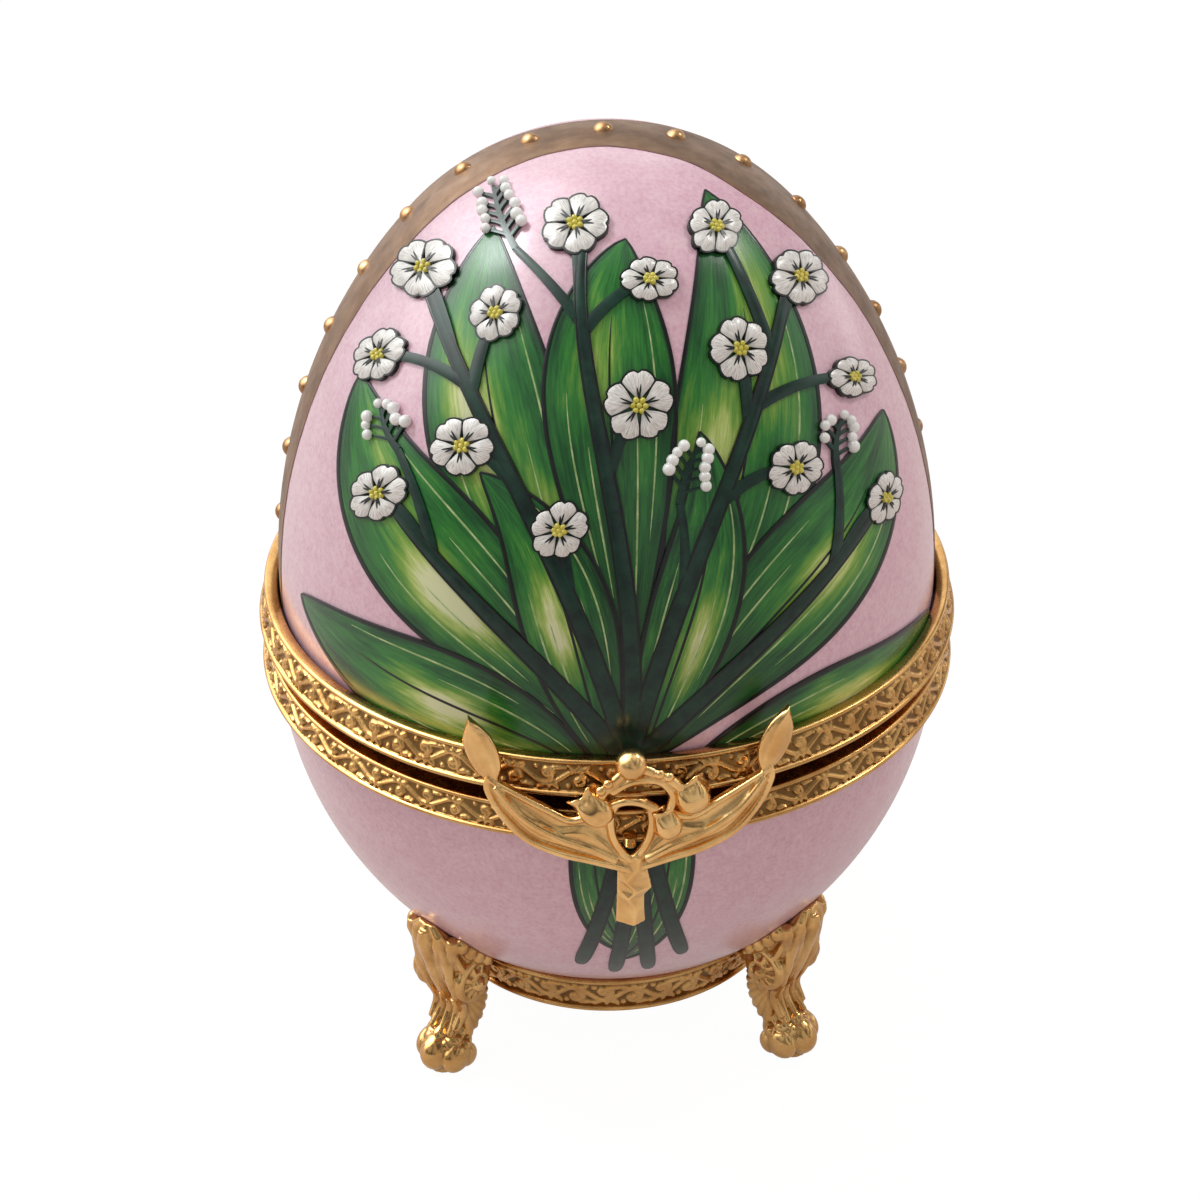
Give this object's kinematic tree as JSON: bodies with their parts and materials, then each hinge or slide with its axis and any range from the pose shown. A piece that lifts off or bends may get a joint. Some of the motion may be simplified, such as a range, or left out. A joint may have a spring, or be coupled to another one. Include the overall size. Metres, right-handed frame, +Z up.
{
  "type": "decorative egg on stand",
  "caption": "Hinged pink porcelain egg box with gilt brass collars, a cast floral clasp and a footed ring stand, painted with white blossoms and leaves.",
  "frame": {"origin": "on the ground under the egg's axis, at the centre of the bounding box's base", "axes": "+Z up along the egg's axis, -Y towards the clasp at the front, +Y towards the hinge"},
  "size_m": [0.0734, 0.0798, 0.1001],
  "materials": {
    "pink_porcelain": "glossy glaze, finely mottled pink outside and white inside",
    "gilt_brass": "chased gilt brass, bright beads and darker recesses",
    "cast_brass": "cast and burnished gilt brass",
    "gilt_enamel": "raised dots under matte gold"
  },
  "bodies": {
    "base": {"base_shell": "pink_porcelain", "base_collar": "gilt_brass", "base_lip": "gilt_brass", "base_hinge_leaf": "gilt_brass", "hinge_pin": "gilt_brass", "catch_nib": "gilt_brass", "stand_ring": "gilt_brass", "stand_seat": "gilt_brass", "leg_rivets": "gilt_brass", "leg_front_left": "cast_brass", "leg_front_right": "cast_brass", "leg_rear_right": "cast_brass", "leg_rear_left": "cast_brass"},
    "lid": {"lid_shell": "pink_porcelain", "lid_collar": "gilt_brass", "lid_hinge_leaf": "gilt_brass", "gilt_dots": "gilt_enamel", "clasp_mount": "gilt_brass"},
    "clasp": {"clasp_spray": "cast_brass", "clasp_bells": "cast_brass", "clasp_bud": "cast_brass"}
  },
  "joints": [
    {"name": "lid_hinge", "type": "hinge", "parent": "base", "child": "lid", "pos_m": [0, 0.0383, 0.04723], "axis": [-1, 0, 0], "range_deg": [0, 95]},
    {"name": "clasp_flex", "type": "hinge", "parent": "lid", "child": "clasp", "pos_m": [0, -0.0373, 0.05083], "axis": [-1, 0, 0], "range_deg": [0, 10], "stiffness_Nm_per_rad": 0.1}
  ]
}
